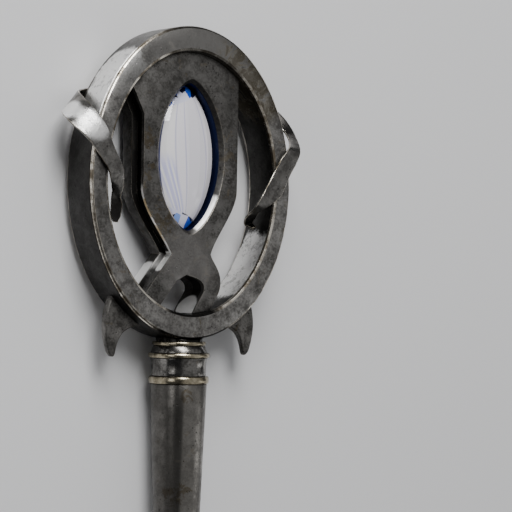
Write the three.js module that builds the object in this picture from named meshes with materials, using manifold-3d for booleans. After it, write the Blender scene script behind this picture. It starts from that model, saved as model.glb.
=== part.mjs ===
import * as THREE from "three";
import { mergeVertices } from "three/addons/utils/BufferGeometryUtils.js";
import Module from "manifold-3d";

// A sceptre with an oval ring head, lying on its back, in millimetres.
// It is modelled round its own long axis: X to the right of the head, Y from butt to head and
// Z out of the head's front, with the middle of the ring at zero. The last lines lay it down.

// Clearance between neighbouring pieces
const GAP = 0.3;

// Ring
const RING_HEIGHT = 220;
const RING_WIDTH = 175;
const RING_DEPTH = 30.8;
const RING_BAND_SIDE = 14.5;
const RING_BAND_END = 18;
const RING_OUTER_CHAMFER = 1.6;
const RING_INNER_CHAMFER = 2.2;
const RING_RIM_WIDTH = 3.4;
const RING_GROOVE_WIDTH = 3.4;
const RING_GROOVE_DEPTH = 3;
const RING_GROOVE_DRAFT = 0.4;
const RING_GROOVE_STOP_WIDTH = 29;
const RING_SEGMENTS = 60;

// Setting plate inside the ring
const PLATE_FRONT_RECESS = 4.4;
const PLATE_BACK_RECESS = 3.4;
const PLATE_WIDTH = 82.6;
const PLATE_SHOULDER_Y = -4;
const PLATE_TAPER_LEAVE = 0.32;
const PLATE_TAPER_MEET = 0.735;
const PLATE_TAPER_FULLNESS = 0.53;
const PLATE_FLARE_Y = 46;
const PLATE_FLARE_REACH = 10.5;
const PLATE_FLARE_HEIGHT = 20;
const PLATE_WAIST_LEFT = 15.4;
const PLATE_WAIST_RIGHT = 18.4;
const PLATE_WAIST_Y = -50;
const PLATE_FACE_THICKNESS = 1.9;
const PLATE_EDGE_BEVEL = 1.2;
const PLATE_GROOVE_WIDTH = 10.7;
const PLATE_GROOVE_DEPTH = 3.5;
const PLATE_BACK_STEP = 1.5;

// The plate's two legs, which fork under the waist
const CROTCH_DROP = 14.5;
const CROTCH_X = -2.5;
const CROTCH_ROUND = 4.5;
const LEFT_LEG_WIDTH = 15;
const LEFT_LEG_LEAN = 39;
const RIGHT_LEG_WIDTH = 14.5;
const RIGHT_LEG_BULGE = 27.7;
const RIGHT_LEG_BULGE_DROP = 20.2;
const RIGHT_LEG_FOOT_X = 7;
const RIGHT_LEG_CURL = 16;

// Window through the plate, and the stone in it
const WINDOW_WIDTH = 53;
const WINDOW_HEIGHT = 103.6;
const WINDOW_Y = 18.3;
const WINDOW_CHAMFER = 3.2;
const WINDOW_FULLNESS = 0.45;
const STONE_THICKNESS = 17;
const STONE_GIRDLE = 2.4;
const STONE_TABLE = 0.42;
const STONE_STEP = 0.74;
const STONE_STEP_RISE = 0.72;
const STONE_TABLE_RISE = 0.96;

// Claws under the ring
const CLAW_THICKNESS = 6.4;
const CLAW_ROOT_OUT_INSET = 27.5;
const CLAW_ROOT_IN_INSET = 50;
const CLAW_TIP_INSET = 28;
const CLAW_TIP_DROP = 12;
const CLAW_BELLY_INSET = 21.5;
const CLAW_EDGE_ROUND = 1.4;
const CLAW_ROOT_SUNK = 5;
const CLAW_TIP_THINNING = 0.4;

// Straps wound round the ring's sides
const STRAP_THICKNESS = 1.6;
const STRAP_LIFT = 1;
const STRAP_STEPS = 39;
const LEFT_STRAP_WIDTH = 21;
const RIGHT_STRAP_WIDTH = 15;

// Collar and its three bands
const COLLAR_TOP_RADIUS = 18.1;
const COLLAR_CONE_LENGTH = 8;
const COLLAR_CONE_RADIUS = 20.4;
const COLLAR_SLEEVE_LENGTH = 16.4;
const COLLAR_SLEEVE_RADIUS = 19.3;
const BAND_TOP_HEIGHT = 2.6;
const BAND_MIDDLE_HEIGHT = 3.4;
const BAND_BOTTOM_HEIGHT = 5.2;
const BAND_TOP_PROUD = 0.9;
const BAND_MIDDLE_PROUD = 1.5;
const BAND_BOTTOM_PROUD = 1.4;
const BAND_SEAT_DEPTH = 1.6;

// Shaft
const SHAFT_TOP_RADIUS = 20;
const SHAFT_GRIP_RADIUS = 13.8;
const SHAFT_END_RADIUS = 11.3;
const SHAFT_TAPER_LENGTH = 164;
const GRIP_LENGTH = 459;

// Wire wound round the grip
const WIRE_RADIUS = 2.2;
const WIRE_PITCH = 35.6;
const WIRE_START = 4;
const WIRE_FIRST_DROP = 4.8;
const WIRE_END_CLEAR = 14;
const WIRE_SLACK = 1.1;
const WIRE_STEPS_PER_TURN = 12;

// Pommel
const POMMEL_BEAD_RADIUS = 12.6;
const POMMEL_BEAD_HEIGHT = 5.4;
const POMMEL_WIDE_RADIUS = 25.1;
const POMMEL_CONE_LENGTH = 15;
const POMMEL_BODY_LENGTH = 40.5;
const POMMEL_NECK_RADIUS = 11.2;
const POMMEL_SECOND_RADIUS = 16;
const POMMEL_SECOND_CONE_LENGTH = 8;
const POMMEL_SECOND_LENGTH = 19;
const POMMEL_WAIST_RADIUS = 10.8;
const POMMEL_END_CONE_LENGTH = 16.5;
const POMMEL_END_WIDE_RADIUS = 16.9;
const POMMEL_END_LENGTH = 22;
const POMMEL_BUTT_RADIUS = 9.5;

// Small flats that the sceptre lies on
const POMMEL_FLAT_DEPTH = 0.9;
const BAND_FLAT_DEPTH = 0.5;

const TURNED_SEGMENTS = 30;

const wasm = await Module();
wasm.setup();

// Solids for joining and cutting
function toSolid(geometry) {
  const bare = geometry.index ? geometry.toNonIndexed() : geometry.clone();
  bare.deleteAttribute("normal");
  bare.deleteAttribute("uv");
  const merged = mergeVertices(bare, 1e-4);
  const index = merged.index.array;
  const kept = [];
  for (let i = 0; i < index.length; i += 3) {
    const [a, b, c] = [index[i], index[i + 1], index[i + 2]];
    if (a !== b && b !== c && c !== a) kept.push(a, b, c);
  }
  return new wasm.Manifold(
    new wasm.Mesh({
      numProp: 3,
      vertProperties: merged.attributes.position.array,
      triVerts: new Uint32Array(kept),
    }),
  );
}

function toGeometry(solid) {
  const mesh = solid.getMesh();
  const geometry = new THREE.BufferGeometry();
  geometry.setAttribute("position", new THREE.BufferAttribute(mesh.vertProperties, 3));
  geometry.setIndex(new THREE.BufferAttribute(mesh.triVerts, 1));
  return geometry;
}

// Moves every vertex by a rule, keeping the faces.
function reshape(geometry, rule) {
  const position = geometry.attributes.position;
  const point = new THREE.Vector3();
  for (let i = 0; i < position.count; i++) {
    point.fromBufferAttribute(position, i);
    rule(point);
    position.setXYZ(i, point.x, point.y, point.z);
  }
  return geometry;
}

// A turned piece about Y: its profile runs up the outside, as [radius, y] pairs.
function turned(profile, segments = TURNED_SEGMENTS) {
  return new THREE.LatheGeometry(
    profile.map(([r, y]) => new THREE.Vector2(r, y)),
    segments,
  );
}

// A prism between two heights along Z, with an optional bevel inside its outline.
function prism(shape, low, high, bevel = 0) {
  const geometry = new THREE.ExtrudeGeometry(shape, {
    depth: high - low - 2 * bevel,
    bevelEnabled: bevel > 0,
    bevelThickness: bevel,
    bevelSize: bevel,
    bevelOffset: -bevel,
    bevelSegments: 1,
    curveSegments: 14,
  });
  return geometry.translate(0, 0, low + bevel);
}

function ovalShape(halfWidth, halfHeight) {
  const shape = new THREE.Shape();
  shape.absellipse(0, 0, halfWidth, halfHeight, 0, 2 * Math.PI, false, 0);
  return new THREE.Shape(shape.getPoints(RING_SEGMENTS * 2).slice(0, -1));
}

// Ring
const ringOuter = [RING_WIDTH / 2, RING_HEIGHT / 2];
const ringInner = [RING_WIDTH / 2 - RING_BAND_SIDE, RING_HEIGHT / 2 - RING_BAND_END];
const ringFront = RING_DEPTH / 2;

// The ring's section is swept round its oval. Each point says which wall it is measured from, how
// far off that wall it lies, its height, and how deep the groove takes it.
function ringGeometry() {
  const grooveOut = RING_RIM_WIDTH;
  const grooveIn = RING_RIM_WIDTH + RING_GROOVE_WIDTH;
  const back = -ringFront;
  const section = [
    { wall: ringOuter, off: -RING_OUTER_CHAMFER, z: back },
    { wall: ringOuter, off: 0, z: back + RING_OUTER_CHAMFER },
    { wall: ringOuter, off: 0, z: ringFront - RING_OUTER_CHAMFER },
    { wall: ringOuter, off: -RING_OUTER_CHAMFER, z: ringFront },
    { wall: ringInner, off: RING_INNER_CHAMFER, z: ringFront },
    { wall: ringInner, off: 0, z: ringFront - RING_INNER_CHAMFER },
    { wall: ringInner, off: 0, z: back + RING_INNER_CHAMFER },
    { wall: ringInner, off: RING_INNER_CHAMFER, z: back },
    { wall: ringOuter, off: -grooveIn, z: back },
    { wall: ringOuter, off: RING_GROOVE_DRAFT - grooveIn, z: back, deep: RING_GROOVE_DEPTH },
    { wall: ringOuter, off: -RING_GROOVE_DRAFT - grooveOut, z: back, deep: RING_GROOVE_DEPTH },
    { wall: ringOuter, off: -grooveOut, z: back },
  ];
  const positions = [];
  const index = [];
  for (let i = 0; i < RING_SEGMENTS; i++) {
    const turn = (2 * Math.PI * i) / RING_SEGMENTS;
    const [x, y] = [Math.sin(turn), Math.cos(turn)];
    const stopped = y < 0 && Math.abs(x * ringOuter[0]) < RING_GROOVE_STOP_WIDTH / 2;
    for (const { wall, off, z, deep = 0 } of section) {
      positions.push(x * (wall[0] + off), y * (wall[1] + off), stopped ? z : z + deep);
    }
  }
  const n = section.length;
  for (let i = 0; i < RING_SEGMENTS; i++) {
    const next = (i + 1) % RING_SEGMENTS;
    for (let j = 0; j < n; j++) {
      const k = (j + 1) % n;
      const [a, b, c, d] = [i * n + j, next * n + j, next * n + k, i * n + k];
      index.push(a, c, b, a, d, c);
    }
  }
  const geometry = new THREE.BufferGeometry();
  geometry.setAttribute("position", new THREE.Float32BufferAttribute(positions, 3));
  geometry.setIndex(index);
  return geometry;
}

// Setting plate
const plateFront = ringFront - PLATE_FRONT_RECESS;
const plateBack = -ringFront + PLATE_BACK_RECESS;

const legLean = THREE.MathUtils.degToRad(LEFT_LEG_LEAN);
const plateBelow = -ringInner[1] - 10;

// How far left the left leg's outer edge is at a height, with the plate grown by a distance.
function leftLegX(y, growth = 0) {
  return -PLATE_WAIST_LEFT - growth / Math.cos(legLean) - Math.tan(legLean) * (PLATE_WAIST_Y - y);
}

// The plate's outline, grown by a distance on every side: straight sides, a taper to the waist, a
// straight leg to the left and a curling leg to the right, with no fork yet. Above and below it
// runs past the ring's bore, which trims it.
function plateShape(growth) {
  const half = PLATE_WIDTH / 2 + growth;
  const waistLeft = leftLegX(PLATE_WAIST_Y, growth);
  const waistRight = PLATE_WAIST_RIGHT + growth;
  const past = RING_HEIGHT / 2;
  const taper = PLATE_WAIST_Y - PLATE_SHOULDER_Y;
  const leave = PLATE_SHOULDER_Y + PLATE_TAPER_LEAVE * taper;
  const meet = PLATE_SHOULDER_Y + PLATE_TAPER_MEET * taper;
  const taperIn = PLATE_TAPER_FULLNESS * half;
  const bulge = RIGHT_LEG_BULGE + growth;
  const bulgeY = PLATE_WAIST_Y - RIGHT_LEG_BULGE_DROP;
  const foot = RIGHT_LEG_FOOT_X + RIGHT_LEG_WIDTH / 2 + growth;
  const shape = new THREE.Shape();
  shape.moveTo(half, past);
  shape.lineTo(half, PLATE_SHOULDER_Y);
  shape.bezierCurveTo(half, leave, taperIn, meet, waistRight, PLATE_WAIST_Y);
  shape.bezierCurveTo(waistRight + 2, PLATE_WAIST_Y - 6, bulge, PLATE_WAIST_Y - 10, bulge, bulgeY);
  shape.bezierCurveTo(bulge, bulgeY - 10, foot + 3, plateBelow + RIGHT_LEG_CURL, foot, plateBelow);
  shape.lineTo(leftLegX(plateBelow, growth), plateBelow);
  shape.lineTo(waistLeft, PLATE_WAIST_Y);
  shape.bezierCurveTo(-taperIn, meet, -half, leave, -half, PLATE_SHOULDER_Y);
  shape.lineTo(-half, PLATE_FLARE_Y);
  shape.lineTo(-half - PLATE_FLARE_REACH, PLATE_FLARE_Y + PLATE_FLARE_HEIGHT);
  shape.lineTo(-half - PLATE_FLARE_REACH, past);
  return new THREE.Shape(shape.getPoints(9));
}

// The fork between the legs, cut straight through the plate.
function forkShape() {
  const legAcross = LEFT_LEG_WIDTH / Math.cos(legLean);
  const forkY = PLATE_WAIST_Y - CROTCH_DROP;
  const edgeY = forkY - CROTCH_ROUND;
  const hollow = RIGHT_LEG_BULGE - RIGHT_LEG_WIDTH;
  const hollowY = PLATE_WAIST_Y - RIGHT_LEG_BULGE_DROP - 4;
  const foot = RIGHT_LEG_FOOT_X - RIGHT_LEG_WIDTH / 2;
  const past = plateBelow - 1;
  const shape = new THREE.Shape();
  shape.moveTo(foot, past);
  shape.lineTo(foot, plateBelow);
  shape.bezierCurveTo(foot + 3, plateBelow + RIGHT_LEG_CURL, hollow, hollowY - 5, hollow, hollowY);
  shape.bezierCurveTo(hollow, hollowY + 7, 0.3 * hollow, forkY - 2, CROTCH_X, forkY);
  shape.lineTo(leftLegX(edgeY) + legAcross, edgeY);
  shape.lineTo(leftLegX(past) + legAcross, past);
  return new THREE.Shape(shape.getPoints(9));
}

// Half the width of the pointed oval at a share of its half height: partly an arc, partly an oval.
function pointedHalf(halfWidth, halfHeight, share) {
  const y = Math.min(1, Math.abs(share)) * halfHeight;
  const radius = (halfWidth ** 2 + halfHeight ** 2) / (2 * halfWidth);
  const arc = Math.sqrt(radius ** 2 - y ** 2) - (radius - halfWidth);
  const oval = halfWidth * Math.sqrt(Math.max(0, 1 - (y / halfHeight) ** 2));
  return (1 - WINDOW_FULLNESS) * Math.max(0, arc) + WINDOW_FULLNESS * oval;
}

function pointedOval(halfWidth, halfHeight, count) {
  const points = [];
  for (let i = 0; i < count; i++) {
    const turn = (2 * Math.PI * i) / count;
    const share = Math.cos(turn);
    const side = Math.sin(turn) < 0 ? -1 : 1;
    const wide = i % (count / 2) === 0 ? 0 : side * pointedHalf(halfWidth, halfHeight, share);
    points.push(new THREE.Vector2(wide, WINDOW_Y + halfHeight * share));
  }
  return points;
}

function windowCutter() {
  const half = [WINDOW_WIDTH / 2, WINDOW_HEIGHT / 2];
  const wide = half.map((v) => v + WINDOW_CHAMFER);
  const count = 36;
  const through = new THREE.Shape(pointedOval(...half, count));
  const mouth = () => new THREE.Shape(pointedOval(...wide, count));
  const reach = 2 * WINDOW_CHAMFER;
  const front = prism(mouth(), plateFront - WINDOW_CHAMFER, plateFront + reach, WINDOW_CHAMFER);
  const back = prism(mouth(), plateBack - reach, plateBack + WINDOW_CHAMFER, WINDOW_CHAMFER);
  return toSolid(prism(through, plateBack - 1, plateFront + 1)).add(toSolid(front)).add(toSolid(back));
}

function plateGeometry() {
  const grooveFront = plateFront - PLATE_FACE_THICKNESS;
  const grooveBack = grooveFront - PLATE_GROOVE_WIDTH;
  const face = prism(plateShape(0), grooveFront - PLATE_EDGE_BEVEL, plateFront, PLATE_EDGE_BEVEL);
  const core = prism(plateShape(-PLATE_GROOVE_DEPTH), plateBack + 1, plateFront - 1);
  const rear = prism(plateShape(PLATE_BACK_STEP), plateBack, grooveBack, PLATE_EDGE_BEVEL);
  const bore = prism(ovalShape(ringInner[0] - GAP, ringInner[1] - GAP), plateBack - 1, plateFront + 1);
  const fork = prism(forkShape(), plateBack - 1, plateFront + 1);
  const plate = toSolid(face).add(toSolid(core)).add(toSolid(rear)).intersect(toSolid(bore));
  return toGeometry(plate.subtract(toSolid(fork)).subtract(windowCutter()));
}

// The stone: a pointed oval lens, cut in steps on both faces.
function stoneGeometry() {
  const half = [WINDOW_WIDTH / 2 - GAP, WINDOW_HEIGHT / 2 - GAP];
  const top = STONE_THICKNESS / 2;
  const girdle = STONE_GIRDLE / 2;
  const above = [
    [1, girdle],
    [STONE_STEP, STONE_STEP_RISE * top],
    [STONE_TABLE, STONE_TABLE_RISE * top],
    [0, top],
  ];
  const below = above.map(([r, z]) => [r, -z]).reverse();
  const profile = [...below, ...above];
  return reshape(turned(profile, 28), (p) => {
    const reach = Math.hypot(p.x, p.z);
    const turn = Math.atan2(p.x, p.z);
    const share = Math.cos(turn);
    const wide = pointedHalf(half[0], half[1], share) * Math.sign(Math.round(1e6 * Math.sin(turn)));
    p.set(reach * wide, WINDOW_Y + reach * half[1] * share, -p.y);
  });
}

// Claws: a fang that hangs from the ring's outer wall; side is -1 for the left and 1 for the right.
function clawGeometry(side) {
  const ringAt = (x) => -ringOuter[1] * Math.sqrt(1 - (x / ringOuter[0]) ** 2);
  const rootOut = ringOuter[0] - CLAW_ROOT_OUT_INSET;
  const rootIn = ringOuter[0] - CLAW_ROOT_IN_INSET;
  const tipX = ringOuter[0] - CLAW_TIP_INSET;
  const belly = ringOuter[0] - CLAW_BELLY_INSET;
  const tipY = -ringOuter[1] - CLAW_TIP_DROP;
  const rootOutY = ringAt(rootOut);
  const rootInY = ringAt(rootIn);
  const shape = new THREE.Shape();
  shape.moveTo(rootOut - CLAW_ROOT_SUNK, rootOutY + CLAW_ROOT_SUNK);
  shape.lineTo(rootIn, rootInY + CLAW_ROOT_SUNK);
  shape.lineTo(rootIn, rootInY - 1);
  shape.bezierCurveTo(
    tipX - 9,
    rootInY - 3,
    tipX - 5,
    tipY + 14,
    tipX - 3.2,
    tipY + 2.2,
  );
  shape.bezierCurveTo(tipX - 2.4, tipY - 0.5, tipX, tipY - 0.5, tipX + 2, tipY + 2.6);
  shape.bezierCurveTo(
    belly,
    tipY + 12,
    belly + 1.6,
    rootOutY - 12,
    rootOut,
    rootOutY + 1,
  );
  const outline = new THREE.Shape(shape.getPoints(7).slice(0, -1));
  const half = CLAW_THICKNESS / 2;
  const blank = prism(outline, -half, half, CLAW_EDGE_ROUND);
  reshape(blank, (p) => {
    const down = THREE.MathUtils.clamp((rootInY - p.y) / (rootInY - tipY), 0, 1);
    p.z *= 1 - CLAW_TIP_THINNING * down;
  });
  const wall = prism(ovalShape(ringOuter[0] + GAP, ringOuter[1] + GAP), -RING_DEPTH, RING_DEPTH);
  const claw = toGeometry(toSolid(blank).subtract(toSolid(wall)));
  if (side > 0) return claw;
  const turnedRound = reshape(claw, (p) => {
    p.x = -p.x;
  });
  const index = turnedRound.index.array;
  for (let i = 0; i < index.length; i += 3) [index[i + 1], index[i + 2]] = [index[i + 2], index[i + 1]];
  return turnedRound;
}

// Straps: a flat ribbon that follows a route round the ring's side. Each stop gives how far up the
// ring its middle is, as a share of the ring's half height, how far it lies outside the outer wall
// or inside the bore, its height as a share of the height where the strap rests on the front
// face, which way its width points, and its width as a share of the strap's widest.
const strapRest = ringFront + STRAP_LIFT + STRAP_THICKNESS / 2;
const LEFT_STRAP_STOPS = [
  { up: 0.57, out: -12, rise: -1, across: [0.5, 0.85, 0], wide: 0.45 },
  { up: 0.52, out: -0.5, rise: -1.05, across: [0.5, 0.85, 0], wide: 0.65 },
  { up: 0.48, out: 12, rise: -0.5, across: [0.65, 0.75, 0], wide: 0.9 },
  { up: 0.44, out: 16, rise: 0.1, across: [0.75, 0.65, 0], wide: 1 },
  { up: 0.36, out: 11, rise: 0.75, across: [0.9, 0.45, 0.1], wide: 1 },
  { up: 0.27, out: 1, rise: 1.05, across: [0.85, 0.5, 0], wide: 0.85 },
  { up: 0.19, out: -7, rise: 1, across: [0.95, 0.35, 0], wide: 0.7 },
  { up: 0.12, out: -13, rise: 1, across: [1, 0.2, 0], wide: 0.65 },
  { up: 0.06, inside: 3.5, rise: 1, across: [1, 0.1, 0], wide: 0.6 },
  { up: -0.03, inside: 7, rise: 0.85, across: [1, -0.2, 0], wide: 0.5 },
  { up: -0.09, inside: 8.5, rise: 0.65, across: [0.7, -0.6, 0.35], wide: 0.35 },
  { up: -0.16, inside: 9, rise: 0.55, across: [1, -0.05, 0.25], wide: 0.4 },
  { up: -0.23, inside: 8, rise: 0.45, across: [1, -0.05, 0.3], wide: 0.35 },
  { up: -0.27, inside: 7, rise: 0.45, across: [1, 0, 0.3], wide: 0.15 },
];
const RIGHT_STRAP_STOPS = [
  { up: 0.65, out: -10, rise: -1, across: [-0.2, 1, 0], wide: 0.6 },
  { up: 0.6, out: 0, rise: -1.05, across: [0.3, 0.95, 0], wide: 0.75 },
  { up: 0.54, out: 10, rise: -0.65, across: [0.5, 0.85, 0], wide: 0.65 },
  { up: 0.47, out: 14, rise: -0.25, across: [0.6, 0.8, 0], wide: 0.6 },
  { up: 0.4, out: 15, rise: 0.1, across: [0.9, 0.4, 0], wide: 0.5 },
  { up: 0.33, out: 12, rise: 0.5, across: [1, 0.2, 0], wide: 0.5 },
  { up: 0.25, out: 4.5, rise: 1, across: [1, -0.25, 0], wide: 0.75 },
  { up: 0.17, out: -4, rise: 1.1, across: [1, -0.3, 0], wide: 0.95 },
  { up: 0.09, out: -10, rise: 1.05, across: [1, -0.3, 0], wide: 0.95 },
  { up: -0.03, out: -18, rise: 1.05, across: [0.9, -0.45, 0], wide: 1 },
  { up: -0.11, inside: 11, rise: 1, across: [0.9, -0.4, 0.1], wide: 0.6 },
  { up: -0.16, inside: 13.5, rise: 0.7, across: [1, -0.2, 0], wide: 0.35 },
  { up: -0.2, inside: 10.5, rise: 0.2, across: [0.9, 0.1, 0.3], wide: 0.55 },
  { up: -0.24, inside: 6.5, rise: -0.15, across: [0.9, 0.3, 0.2], wide: 0.45 },
  { up: -0.27, inside: 3.5, rise: 0.1, across: [0.9, 0.3, 0.2], wide: 0.2 },
];

function strapGeometry(stops, widest, side) {
  const wallX = ([halfWidth, halfHeight], y) => halfWidth * Math.sqrt(1 - (y / halfHeight) ** 2);
  const middles = stops.map(({ up, out, inside, rise }) => {
    const y = up * ringOuter[1];
    const x = inside === undefined ? wallX(ringOuter, y) + out : wallX(ringInner, y) - inside;
    return new THREE.Vector3(side * x, y, rise * strapRest);
  });
  const route = new THREE.CatmullRomCurve3(middles, false, "centripetal");
  const blank = new THREE.BoxGeometry(1, 1, 1, 1, 1, STRAP_STEPS);
  return reshape(blank, (p) => {
    const share = THREE.MathUtils.clamp(p.z + 0.5, 0, 1);
    const spot = share * (stops.length - 1);
    const from = Math.min(Math.floor(spot), stops.length - 2);
    const blend = spot - from;
    const [a, b] = [stops[from], stops[from + 1]];
    const width = widest * THREE.MathUtils.lerp(a.wide, b.wide, blend);
    const along = route.getTangent(share);
    const across = new THREE.Vector3(...a.across).lerp(new THREE.Vector3(...b.across), blend);
    across.normalize();
    const out = new THREE.Vector3().crossVectors(along, across).normalize();
    const at = route.getPoint(share);
    at.addScaledVector(across, p.x * width).addScaledVector(out, p.y * STRAP_THICKNESS);
    p.copy(at);
  });
}

// Heights down the axis, from the ring's foot to the butt
const collarTop = -ringOuter[1];
const bandTopY = collarTop - 1.6;
const coneTop = bandTopY - BAND_TOP_HEIGHT;
const bandMiddleY = coneTop - COLLAR_CONE_LENGTH + BAND_TOP_HEIGHT;
const sleeveTop = bandMiddleY - BAND_MIDDLE_HEIGHT;
const bandBottomY = sleeveTop - COLLAR_SLEEVE_LENGTH + BAND_MIDDLE_HEIGHT;
const shaftTop = bandBottomY - BAND_BOTTOM_HEIGHT;
const gripTop = shaftTop - SHAFT_TAPER_LENGTH;
const shaftEnd = gripTop - GRIP_LENGTH;

// The surface that the sceptre lies on, seen in the sceptre's own frame: it touches the bottom of
// the middle band and of the pommel's widest edge, a little inside their round outline.
const bandWide = COLLAR_CONE_RADIUS + BAND_MIDDLE_PROUD;
const bandRestY = bandMiddleY - BAND_MIDDLE_HEIGHT / 2;
const pommelWideY = shaftEnd - POMMEL_BEAD_HEIGHT - POMMEL_CONE_LENGTH;
const bandRestZ = -bandWide + BAND_FLAT_DEPTH;
const pommelRestZ = -POMMEL_WIDE_RADIUS + POMMEL_FLAT_DEPTH;
const tilt = Math.atan2(bandRestZ - pommelRestZ, bandRestY - pommelWideY);

function cutByFloor(solid) {
  const size = 2 * (ringOuter[1] - pommelWideY);
  const block = new THREE.BoxGeometry(size, size, size);
  block.translate(0, 0, -size / 2);
  block.rotateX(tilt);
  block.translate(0, pommelWideY, pommelRestZ);
  return solid.subtract(toSolid(block));
}

// Collar: a saddle under the ring, a short cone and a hollow-sided sleeve, with seats for the bands.
function collarGeometry() {
  const sleeveEnd = bandBottomY + GAP;
  const seat = (radius) => radius - BAND_SEAT_DEPTH;
  const waist = (COLLAR_CONE_RADIUS + COLLAR_SLEEVE_RADIUS) / 2 - 0.5;
  const profile = [
    [0, sleeveEnd],
    [COLLAR_SLEEVE_RADIUS, sleeveEnd],
    [COLLAR_SLEEVE_RADIUS, sleeveEnd + 3],
    [waist, (sleeveEnd + sleeveTop) / 2],
    [COLLAR_CONE_RADIUS, sleeveTop - GAP],
    [seat(COLLAR_CONE_RADIUS), sleeveTop - GAP],
    [seat(COLLAR_CONE_RADIUS), bandMiddleY + GAP],
    [COLLAR_CONE_RADIUS - 0.2, bandMiddleY + GAP],
    [COLLAR_TOP_RADIUS, coneTop - GAP],
    [seat(COLLAR_TOP_RADIUS), coneTop - GAP],
    [seat(COLLAR_TOP_RADIUS), collarTop + RING_BAND_END / 2],
    [0, collarTop + RING_BAND_END / 2],
  ];
  const wall = prism(ovalShape(ringOuter[0] + GAP, ringOuter[1] + GAP), -RING_DEPTH, RING_DEPTH);
  return toGeometry(toSolid(turned(profile)).subtract(toSolid(wall)));
}

// A band with a rounded outside, from its top height down.
function bandProfile(top, height, radius, proud) {
  const inner = radius - BAND_SEAT_DEPTH + GAP;
  const middle = top - height / 2;
  return [
    [inner, top - height],
    [radius + 0.3 * proud, top - height],
    [radius + proud, middle - 0.2 * height],
    [radius + proud, middle + 0.2 * height],
    [radius + 0.3 * proud, top],
    [inner, top],
    [inner, top - height],
  ];
}

// The bottom band sits on the joint between collar and shaft, so a spigot of the shaft carries it.
function shaftGeometry() {
  const spigot = SHAFT_TOP_RADIUS - BAND_SEAT_DEPTH;
  const profile = [[0, shaftEnd]];
  const radii = [SHAFT_END_RADIUS, SHAFT_GRIP_RADIUS];
  const grip = 4;
  for (let i = 0; i <= grip; i++) {
    profile.push([THREE.MathUtils.lerp(...radii, i / grip), shaftEnd + (GRIP_LENGTH * i) / grip]);
  }
  const taper = 4;
  for (let i = 1; i <= taper; i++) {
    const radius = THREE.MathUtils.lerp(SHAFT_GRIP_RADIUS, SHAFT_TOP_RADIUS, i / taper);
    profile.push([radius, gripTop + ((SHAFT_TAPER_LENGTH - GAP) * i) / taper]);
  }
  profile.push([spigot, shaftTop - GAP], [spigot, bandBottomY], [0, bandBottomY]);
  return turned(profile);
}

// Wire: one flat turn, then a coil down the grip that stands off it a little, here and there. The
// turn after the flat one is steeper by a quarter pitch as it eases in.
const wireRun = GRIP_LENGTH - WIRE_START - WIRE_FIRST_DROP - WIRE_END_CLEAR;
const wireTurns = 1.25 + wireRun / WIRE_PITCH;

class WireRoute extends THREE.Curve {
  getPoint(share, target = new THREE.Vector3()) {
    const turns = share * wireTurns;
    const flat = Math.min(1, turns);
    const steady = Math.max(0, turns - 1);
    const ease = Math.min(1, steady);
    const drop = WIRE_FIRST_DROP * flat ** 3 + WIRE_PITCH * (steady - 0.25 * ease * (2 - ease));
    const wander = 0.045 * WIRE_PITCH * Math.sin(2.3 * turns) * ease;
    const y = gripTop - WIRE_START - drop - wander;
    const down = THREE.MathUtils.clamp((gripTop - y) / GRIP_LENGTH, 0, 1);
    const shaft = THREE.MathUtils.lerp(SHAFT_GRIP_RADIUS, SHAFT_END_RADIUS, down);
    const slack = WIRE_SLACK * (1 + Math.sin(4.1 * turns + 1)) * ease;
    const chord = Math.cos(Math.PI / WIRE_STEPS_PER_TURN);
    const radius = (shaft + GAP + WIRE_RADIUS) / chord + slack;
    const angle = Math.PI + 2 * Math.PI * turns;
    return target.set(radius * Math.cos(angle), y, radius * Math.sin(angle));
  }
}

function wireGeometry() {
  const section = new THREE.Shape();
  section.absarc(0, 0, WIRE_RADIUS, 0, 2 * Math.PI, false);
  return new THREE.ExtrudeGeometry(new THREE.Shape(section.getPoints(3).slice(0, -1)), {
    steps: Math.round(wireTurns * WIRE_STEPS_PER_TURN),
    extrudePath: new WireRoute(),
    bevelEnabled: false,
  });
}

// Pommel: turned, from the butt up
function pommelGeometry() {
  const bead = (top) => [
    [POMMEL_BEAD_RADIUS - 1.2, top - POMMEL_BEAD_HEIGHT],
    [POMMEL_BEAD_RADIUS, top - 0.7 * POMMEL_BEAD_HEIGHT],
    [POMMEL_BEAD_RADIUS, top - 0.3 * POMMEL_BEAD_HEIGHT],
    [POMMEL_BEAD_RADIUS - 1.2, top],
  ];
  const top = shaftEnd - GAP;
  const bodyEnd = pommelWideY - POMMEL_BODY_LENGTH;
  const secondTop = bodyEnd - POMMEL_BEAD_HEIGHT;
  const secondWide = secondTop - POMMEL_SECOND_CONE_LENGTH;
  const waist = secondWide - POMMEL_SECOND_LENGTH;
  const endWide = waist - POMMEL_END_CONE_LENGTH;
  const butt = endWide - POMMEL_END_LENGTH;
  const profile = [
    [0, butt],
    [POMMEL_BUTT_RADIUS, butt],
    [POMMEL_END_WIDE_RADIUS, endWide - 0.6],
    [POMMEL_END_WIDE_RADIUS, endWide + 0.6],
    [POMMEL_WAIST_RADIUS, waist],
    [POMMEL_SECOND_RADIUS, secondWide - 0.6],
    [POMMEL_SECOND_RADIUS, secondWide + 0.6],
    ...bead(bodyEnd),
    [POMMEL_NECK_RADIUS, bodyEnd + 0.4],
    [POMMEL_WIDE_RADIUS, pommelWideY - 1],
    [POMMEL_WIDE_RADIUS, pommelWideY + 1],
    ...bead(top),
    [0, top],
  ];
  return toGeometry(cutByFloor(toSolid(turned(profile))));
}

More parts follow.
